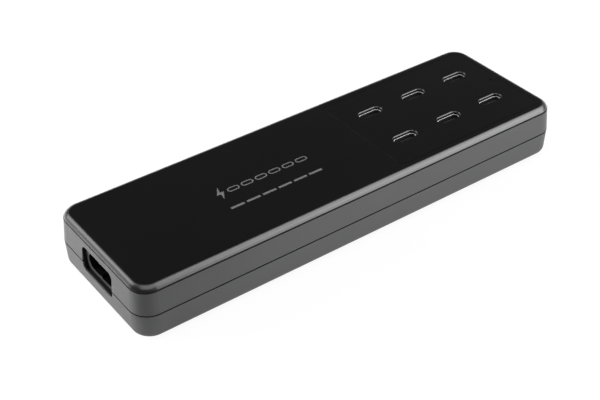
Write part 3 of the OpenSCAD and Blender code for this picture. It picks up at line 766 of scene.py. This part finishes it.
def numbered(stem: str, count: int) -> list[str]:
    """Names of repeated nodes, counted from 1."""
    return [f"{stem}_{index}" for index in range(1, count + 1)]


def dress_nodes(finish: Finish, names: Sequence[str]) -> None:
    """Puts one finish on several CAD nodes.

    Args:
        finish: The finish.
        names: The nodes.
    """
    material = finish.material()
    for name in names:
        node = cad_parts[name]
        node.data.materials.clear()
        node.data.materials.append(material)
        LOG.info("%s: %s", name, finish.name)


@dataclass
class CaseDress:
    """Finishes of the outer mouldings, the feet and the screws.

    The heights of the seams, of the walls in the socket mouths and of the panel's groove, and
    the outer edge of the inlet's recess, mark where light and shade are painted: dark lines at
    the seams and the cover's rim, shade in the recess and the mouths, and a light line in the
    groove.
    """

    # These boxes are painted: dark shadow lines at the seams and the cover's rim, shade in the
    # inlet's recess and the socket mouths, and a light line in the panel's groove.
    top_seam: PaintedShadeBox = PaintedShadeBox(z=(17.9 * MM, 18.44 * MM))
    middle_seam: PaintedShadeBox = PaintedShadeBox(z=(9.68 * MM, 10.11 * MM))
    recess: PaintedShadeBox = PaintedShadeBox(
        x=(-83.4 * MM, -80.5 * MM), y=(-9.15 * MM, 9.15 * MM), z=(6.8 * MM, 16.1 * MM)
    )
    cover_rim: PaintedShadeBox = PaintedShadeBox(z=(17.9 * MM, 18.56 * MM))
    cover_painted_shade_factor: float = 8.0
    mouths: PaintedShadeBox = PaintedShadeBox(z=(18.0 * MM, 19.72 * MM))
    groove_half: float = 0.03 * MM
    groove_z: Span = (18.0 * MM, 19.99 * MM)
    panel_painted_shade_factor: float = 9.0
    satin: EdgePolished = EdgePolished(
        "satin_black_cover", (0.002, 0.002, 0.0022), 0.3, specular=0.27,
        grain_per_metre=5000.0, grain_depth=0.0012 * MM,
        coat=1.0, coat_roughness=0.3, coat_ior=1.7,
    )
    wall: MouldedPlastic = MouldedPlastic(
        "grained_case_wall", (0.045, 0.045, 0.046), 0.48, specular=0.7, grain_depth=0.006 * MM
    )
    feet: Finish = Speckled("foot_rubber", (0.02, 0.02, 0.02), 0.85, fleck=(0.06, 0.06, 0.058))
    screws: Finish = Metal("zinc_plated_screw", (0.62, 0.63, 0.66), 0.35)

    def cover_finish(self) -> Finish:
        """Satin black with a painted shade line at the cover's lower rim."""
        return replace(self.satin, painted_shade_boxes=(self.cover_rim,), painted_shade_factor=self.cover_painted_shade_factor)

    def panel_finish(self) -> Finish:
        """Satin black, with painted shade in the socket mouths and a painted light line in the
        groove on the panel's inlet side.

        Returns:
            The finish.
        """
        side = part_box("port_panel")[0][0]
        # Painted light: a lighter line on the wall of the panel's groove.
        painted_groove = PaintedShadeBox(x=(side - self.groove_half, side + self.groove_half), z=self.groove_z)
        return replace(
            self.satin,
            name="satin_black_panel",
            painted_shade_boxes=(self.mouths, painted_groove),
            painted_shade_factor=self.panel_painted_shade_factor,
        )

    def wall_finish(self) -> Finish:
        """Grained wall with painted shadow lines at both seams and painted shade in the inlet's
        recess.
        """
        return replace(self.wall, painted_shade_boxes=(self.middle_seam, self.top_seam, self.recess))

    def dress(self) -> None:
        """Puts each finish on its nodes."""
        dress_nodes(self.cover_finish(), ["top_cover"])
        dress_nodes(self.panel_finish(), ["port_panel"])
        dress_nodes(self.wall_finish(), ["lower_case", "upper_case"])
        dress_nodes(self.feet, numbered("rubber_foot", 4))
        dress_nodes(self.screws, ["case_screws", "board_screws"])


@dataclass
class InletDress:
    """Finishes of the mains inlet, whose block has painted shade behind its front face."""

    block: Finish = MouldedPlastic(
        "inlet_moulding", (0.012, 0.012, 0.013), 0.5, specular=1.0,
        # Painted shade: the block behind its front face is a dark matte colour.
        painted_shade_boxes=(PaintedShadeBox(x=(-82.4 * MM, -68.0 * MM)),),
    )
    pins: Finish = Metal("nickel_pin", (0.6, 0.59, 0.57), 0.25, streak=(0.06, 1.0, 1.0))

    def dress(self) -> None:
        """Puts each finish on its nodes."""
        dress_nodes(self.block, ["inlet_body"])
        dress_nodes(self.pins, numbered("inlet_pin", 2))


@dataclass
class SocketRow:
    """The sockets: metal shells, insulators, and gold contacts on both faces of each tongue."""

    count: int = 6
    contacts_per_face: int = 12
    contact_pitch: float = 0.5 * MM
    contact_w: float = 0.27 * MM
    contact_l: float = 3.5 * MM
    contact_proud: float = 0.03 * MM
    blade_t: float = 0.7 * MM
    tip_margin: float = 1.2 * MM
    shells: Finish = CutEdge("port_shell_plating", (0.18, 0.18, 0.185), 0.36)
    tongues: Finish = MouldedPlastic("port_insulator", (0.025, 0.025, 0.025), 0.5, specular=0.4)
    gold: Finish = Metal("contact_gold", (0.83, 0.6, 0.26), 0.22)

    def dress(self) -> None:
        """Puts the finishes on the shells and the insulators."""
        dress_nodes(self.shells, numbered("port_shell", self.count))
        dress_nodes(self.tongues, numbered("port_tongue", self.count))

    def contacts(self, index: int) -> bpy.types.Object:
        """Contacts of one socket: two rows of flat bars, half sunk in the tongue's faces.

        Args:
            index: The socket's number.

        Returns:
            The contacts as one piece.
        """
        low, high = (np.array(corner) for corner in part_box(f"port_tongue_{index}"))
        middle = (low + high) / 2
        step = np.arange(self.contacts_per_face) - (self.contacts_per_face - 1) / 2
        x = middle[0] + step * self.contact_pitch
        z = high[2] - self.tip_margin - self.contact_l / 2
        rows = [row_along_x(x, middle[1] + side * self.blade_t / 2, z) for side in (-1, 1)]
        half = np.array([self.contact_w / 2, self.contact_proud, self.contact_l / 2])
        shape = bars(np.vstack(rows), half)
        return new_piece(f"port_contacts_{index}", *shape, self.gold, "plated")

    def build(self) -> None:
        """Makes the contacts of every socket."""
        for index in range(1, self.count + 1):
            self.contacts(index)


@dataclass
class CoverPrint:
    """Plain silver print on the cover: a bolt, six socket outlines and a broken rule below."""

    left: float = -40.0 * MM
    line_y: float = 0.8 * MM
    bolt_h: float = 6.4 * MM
    slots: int = 6
    slot_w: float = 4.4 * MM
    slot_h: float = 2.2 * MM
    slot_pitch: float = 5.3 * MM
    line_w: float = 0.42 * MM
    rule_y: float = -7.6 * MM
    rule_h: float = 0.9 * MM
    dashes: int = 6
    gap: float = 1.0 * MM
    proud: float = 0.012 * MM
    ink: Finish = SilverInk("silver_ink", (0.105, 0.105, 0.108), 0.55)

    def heights(self) -> Span:
        """Underside and top of the ink, with its underside just below the cover's face."""
        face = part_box("top_cover")[1][2]
        return face - self.proud, face + self.proud

    def bolt_mark(self) -> bpy.types.Object:
        """The bolt at the left of the first line, in a place half as wide as it is high."""
        outline = bolt(self.bolt_h) + np.array([self.left + self.bolt_h / 4, self.line_y])
        return new_piece("print_bolt", *raised(outline, *self.heights()), self.ink, "plated")

    def slot_marks(self) -> bpy.types.Object:
        """Oblong outlines in a row.

        Returns:
            The outlines as one piece.
        """
        outer = oblong(self.slot_w, self.slot_h)
        inner = oblong(self.slot_w - 2 * self.line_w, self.slot_h - 2 * self.line_w)
        first = self.left + self.bolt_h / 2 + self.slot_w / 2 + self.gap
        places = [
            np.array([first + step * self.slot_pitch, self.line_y]) for step in range(self.slots)
        ]
        rings = [upright_ring(outer + place, inner + place, *self.heights()) for place in places]
        return new_piece("print_sockets", *joined(rings), self.ink, "plated")

    def rule(self) -> bpy.types.Object:
        """Broken rule below the marks and as long as their line.

        Returns:
            The rule as one piece.
        """
        low, high = self.heights()
        whole = self.bolt_h / 2 + self.gap + (self.slots - 1) * self.slot_pitch + self.slot_w
        dash = (whole - (self.dashes - 1) * self.gap) / self.dashes
        x = self.left + dash / 2 + np.arange(self.dashes) * (dash + self.gap)
        half = np.array([dash / 2, self.rule_h / 2, (high - low) / 2])
        shape = bars(row_along_x(x, self.rule_y, (low + high) / 2), half)
        return new_piece("print_rule", *shape, self.ink, "plated")

    def build(self) -> None:
        """Makes the three marks."""
        self.bolt_mark()
        self.slot_marks()
        self.rule()


@dataclass
class InnerParts:
    """Finishes of everything inside the case."""

    board: Finish = CircuitBoard("board_lacquer", (0.01, 0.09, 0.04), 0.3)
    black: Finish = MouldedPlastic("chip_moulding", (0.014, 0.014, 0.014), 0.5, specular=0.4)
    film: Finish = Speckled("insulating_film", (0.62, 0.58, 0.42), 0.6, fleck=(0.7, 0.66, 0.5))
    resin: Finish = MouldedPlastic("dipped_resin", (0.012, 0.05, 0.26), 0.28, coat=0.5)
    yellow: Finish = MouldedPlastic("yellow_moulding", (0.62, 0.36, 0.02), 0.45)
    ferrite: Finish = Speckled("ferrite", (0.035, 0.036, 0.04), 0.6, fleck=(0.12, 0.12, 0.13))
    wire: Finish = Banded("enamelled_wire", (0.5, 0.17, 0.06), 0.25, axis=Axis.X)
    tape: Finish = Banded("polyester_tape", (0.66, 0.42, 0.03), 0.3, turn=1.6 * MM)
    aluminium: Finish = Metal(
        "drawn_aluminium", (0.72, 0.73, 0.75), 0.38, streak=(0.05, 1.0, 1.0)
    )
    sleeve: Finish = MouldedPlastic("shrunk_sleeve", (0.01, 0.014, 0.05), 0.3, coat=0.4)
    white: Finish = MouldedPlastic("white_moulding", (0.72, 0.72, 0.68), 0.45)
    pipe: Finish = ClearPlastic("smoked_clear_moulding", (0.03, 0.03, 0.034), 0.08)

    def dress(self) -> None:
        """Puts each finish on its nodes."""
        chips = ["link_header", "fuse", "bridge_rectifier", "transformer_bobbin"]
        chips += numbered("power_transistor", 2) + numbered("converter_chip", 3)
        cores = ["choke_core", "transformer_core_lower", "transformer_core_upper"]
        dress_nodes(self.board, ["main_board", "port_board"])
        dress_nodes(self.black, chips)
        dress_nodes(self.film, ["insulating_sheet"])
        dress_nodes(self.resin, ["varistor", "y_capacitor"])
        dress_nodes(self.yellow, ["x_capacitor"])
        dress_nodes(self.ferrite, [*cores, *numbered("inductor", 6)])
        dress_nodes(self.wire, ["choke_winding"])
        dress_nodes(self.tape, ["transformer_winding"])
        dress_nodes(self.aluminium, ["heat_sink", *numbered("output_capacitor", 2)])
        dress_nodes(self.sleeve, numbered("bulk_capacitor", 2))
        dress_nodes(self.white, ["optocoupler", "status_led"])
        dress_nodes(self.pipe, ["light_pipe"])


def posed(right: Grid, back: Grid, place: Grid) -> Matrix:
    """Place and turn of a lamp or camera.

    Args:
        right: Unit vector to its right.
        back: Unit vector away from what it looks at.
        place: Where it stands.

    Returns:
        The matrix, whose columns are right, up, back and place.
    """
    columns = np.column_stack([right, np.cross(back, right), back, place])
    return Matrix([*columns.tolist(), [0.0, 0.0, 0.0, 1.0]])


@dataclass(frozen=True)
class SoftBox:
    """A rectangular lamp that looks at the middle of the charger, its length turned to along."""

    name: str
    place: Vector
    along: Vector
    length: float
    breadth: float
    radiance: float
    mirrored: bool = True

    def build(self) -> bpy.types.Object:
        """Makes the lamp, whose power is its radiance times its area times pi.

        Returns:
            The lamp.
        """
        lamp = bpy.data.lights.new(self.name, "AREA")
        lamp.shape = "RECTANGLE"
        lamp.size = self.length
        lamp.size_y = self.breadth
        lamp.energy = self.radiance * self.length * self.breadth * math.pi
        place = np.array(self.place)
        back = place / np.linalg.norm(place)
        right = np.array(self.along) - np.dot(self.along, back) * back
        holder = bpy.data.objects.new(self.name, lamp)
        holder.matrix_world = posed(right / np.linalg.norm(right), back, place)
        holder.visible_glossy = self.mirrored
        bpy.context.scene.collection.objects.link(holder)
        LOG.info("%s: lamp", self.name)
        return holder


@dataclass(frozen=True)
class Arch:
    """Soft boxes along an arc about the X or the Y axis.

    About X, angle a puts a box at (offset, -r cos a, r sin a). About Y, it puts it at
    (-r cos a, offset, r sin a). Angles are degrees above the floor, and each has its radiance.
    """

    name: str
    about: Axis
    offset: float
    radius: float
    length: float
    breadth: float
    angles: tuple[float, ...]
    radiance: tuple[float, ...]

    def boxes(self) -> list[SoftBox]:
        """Places the boxes, whose length lies along the arc's axis.

        Returns:
            The lamps.
        """
        boxes = []
        about_x = self.about is Axis.X
        along = (1.0, 0.0, 0.0) if about_x else (0.0, 1.0, 0.0)
        for index, (angle, level) in enumerate(zip(self.angles, self.radiance), start=1):
            turn = math.radians(angle)
            out, up = -self.radius * math.cos(turn), self.radius * math.sin(turn)
            place = (self.offset, out, up) if about_x else (out, self.offset, up)
            name = f"{self.name}_{index}"
            boxes.append(SoftBox(name, place, along, self.length, self.breadth, level))
        return boxes


@dataclass
class Studio:
    """White floor, soft lamps, plain world and the camera.

    The near arch lights the near edge of the cover, and the end arch the edge over the inlet.
    The large box above leans towards the camera. The two fills light the walls, and no mirror
    ray sees them.
    """

    near_arch: Arch = Arch(
        "near_arch", Axis.X, offset=0.64, radius=0.85, length=0.8, breadth=0.52,
        angles=(18.0, 52.0, 85.0), radiance=(3.2, 4.2, 3.2),
    )
    end_arch: Arch = Arch(
        "end_arch", Axis.Y, offset=0.7, radius=0.75, length=0.5, breadth=0.46,
        angles=(16.0, 56.0), radiance=(1.0, 3.3),
    )
    single_boxes: tuple[SoftBox, ...] = (
        SoftBox("above", (-0.16, -0.22, 0.96), (-0.58, -0.8, 0.0), 0.95, 0.9, 1.5),
        SoftBox("end_fill", (-0.6, 0.55, 0.25), (0.0, 1.0, 0.0), 0.6, 0.5, 22.5, mirrored=False),
        SoftBox("near_fill", (0.5, -0.42, 0.2), (1.0, 0.0, 0.0), 0.3, 0.3, 5.0, mirrored=False),
    )
    floor_half: float = 6.0
    floor_colour: Colour = (0.8, 0.8, 0.8)
    seen_glow: float = 0.92
    glossy_glow: float = 0.35
    paper_span: Span = (0.3, 1.2)
    mirror_shade_span: Span = (45.0 * MM, 90.0 * MM)
    mirror_shade_colour: Colour = (0.12, 0.12, 0.12)
    horizon_strength: float = 0.5
    zenith_strength: float = 0.1
    sky_span: Span = (0.1, 0.4)
    behind_camera_span: Span = (0.0, 0.8)
    camera_azimuth: float = -35.932
    camera_elevation: float = 36.775
    camera_roll: float = -0.682
    camera_distance: float = 0.39232
    camera_target: Vector = (-0.01254, -0.00596, 0.0099)
    camera_clip: float = 0.01
    focal_pixels: float = 1205.69
    image_width: float = 600.0
    sensor_width: float = 36.0

    def towards_camera(self) -> tuple[float, float]:
        """Level direction from the charger to the camera, as its X and Y parts."""
        turn = math.radians(self.camera_azimuth)
        return math.sin(turn), -math.cos(turn)

    def floor_material(self) -> bpy.types.Material:
        """White for the camera and through clear plastic, with a faint shadow near the charger.

        What is seen is mostly a glow of strength 1, wholly so far away, where there is no
        shadow. Mirror rays meet a weaker glow, and painted shade, a dark patch on the floor in
        front of the near corner that only they see, so that the near wall's reflection stays dark.

        Returns:
            The material.
        """
        bench = ShaderBench(bpy.data.materials.new("white_floor"))
        mirrored = bench.ray(Ray.GLOSSY)
        ahead_x, ahead_y = self.towards_camera()
        x, y = bench.coordinate(Axis.X), bench.coordinate(Axis.Y)
        # Painted shade on the floor in front of the near corner, seen only by mirror rays.
        mirror_shade = (x * ahead_x + y * ahead_y).ramp(*self.mirror_shade_span)
        far = abs(x).larger(abs(y)).ramp(*self.paper_span)
        seen_share = bench.seen() * (far * (1.0 - self.seen_glow) + self.seen_glow)
        glow_share = seen_share.larger(mirrored * (1.0 - mirror_shade) * self.glossy_glow)
        paper, painted_mirror_shade = bench.matte(self.floor_colour), bench.matte(self.mirror_shade_colour)
        glow = bench.node("ShaderNodeEmission", {}, {"Color": WHITE, "Strength": 1.0})
        mirror_shaded_floor = bench.layered(mirrored * mirror_shade, paper, painted_mirror_shade)
        return bench.close(bench.layered(glow_share, mirror_shaded_floor, glow))

    def floor(self) -> bpy.types.Object:
        """Flat square floor at the height that the charger stands on.

        Returns:
            The floor.
        """
        side = self.floor_half
        corners = [(-side, -side, 0.0), (side, -side, 0.0), (side, side, 0.0), (-side, side, 0.0)]
        mesh = bpy.data.meshes.new("floor")
        mesh.from_pydata(corners, [], [(0, 1, 2, 3)])
        mesh.materials.append(self.floor_material())
        floor = bpy.data.objects.new("floor", mesh)
        bpy.context.scene.collection.objects.link(floor)
        return floor

    def world(self) -> None:
        """World that is white for the camera and through clear plastic.

        For other rays it is half bright at the horizon, and dim overhead and behind the camera.
        """
        bench = ShaderBench(bpy.data.worlds.new("studio"))
        direction = bench.node("ShaderNodeTexCoord", {}, {}).outputs["Generated"]
        towards = bench.node(
            "ShaderNodeVectorMath",
            {"operation": "DOT_PRODUCT"},
            {0: direction, 1: (*self.towards_camera(), 0.0)},
        )
        parts = bench.node("ShaderNodeSeparateXYZ", {}, {0: direction})
        low = 1.0 - Wire(bench, parts.outputs["Z"]).ramp(*self.sky_span)
        away = 1.0 - Wire(bench, towards.outputs["Value"]).ramp(*self.behind_camera_span)
        gain = self.horizon_strength - self.zenith_strength
        strength = (low * away * gain + self.zenith_strength).larger(bench.seen())
        background = bench.node("ShaderNodeBackground", {}, {"Color": WHITE, "Strength": strength})
        bpy.context.scene.world = bench.close(background, "ShaderNodeOutputWorld")

    def camera(self) -> bpy.types.Object:
        """Camera at the photograph's viewing angle.

        It stands at the camera's distance from its target, at an azimuth counted from the front
        to the right and an elevation above the floor, and the roll turns its right side up.

        Returns:
            The camera.
        """
        lens = bpy.data.cameras.new("camera")
        lens.sensor_width = self.sensor_width
        lens.lens = self.focal_pixels * self.sensor_width / self.image_width
        lens.clip_start = self.camera_clip
        rise, roll = math.radians(self.camera_elevation), math.radians(self.camera_roll)
        ahead_x, ahead_y = self.towards_camera()
        back = np.array([ahead_x * math.cos(rise), ahead_y * math.cos(rise), math.sin(rise)])
        level = np.array([-ahead_y, ahead_x, 0.0])
        right = math.cos(roll) * level + math.sin(roll) * np.cross(back, level)
        holder = bpy.data.objects.new("camera", lens)
        place = np.array(self.camera_target) + self.camera_distance * back
        holder.matrix_world = posed(right, back, place)
        bpy.context.scene.collection.objects.link(holder)
        bpy.context.scene.camera = holder
        return holder

    def build(self) -> None:
        """Makes the whole studio."""
        self.floor()
        self.world()
        self.camera()
        for box in (*self.near_arch.boxes(), *self.end_arch.boxes(), *self.single_boxes):
            box.build()
        bpy.context.scene.view_settings.view_transform = "Standard"


def main() -> None:
    """Dresses the charger, builds its added pieces and sets up the studio."""
    logging.basicConfig(level=logging.INFO, format="%(name)s: %(message)s")
    CaseDress().dress()
    InletDress().dress()
    sockets = SocketRow()
    sockets.dress()
    sockets.build()
    CoverPrint().build()
    InnerParts().dress()
    Studio().build()


if __name__ == "__main__":
    main()
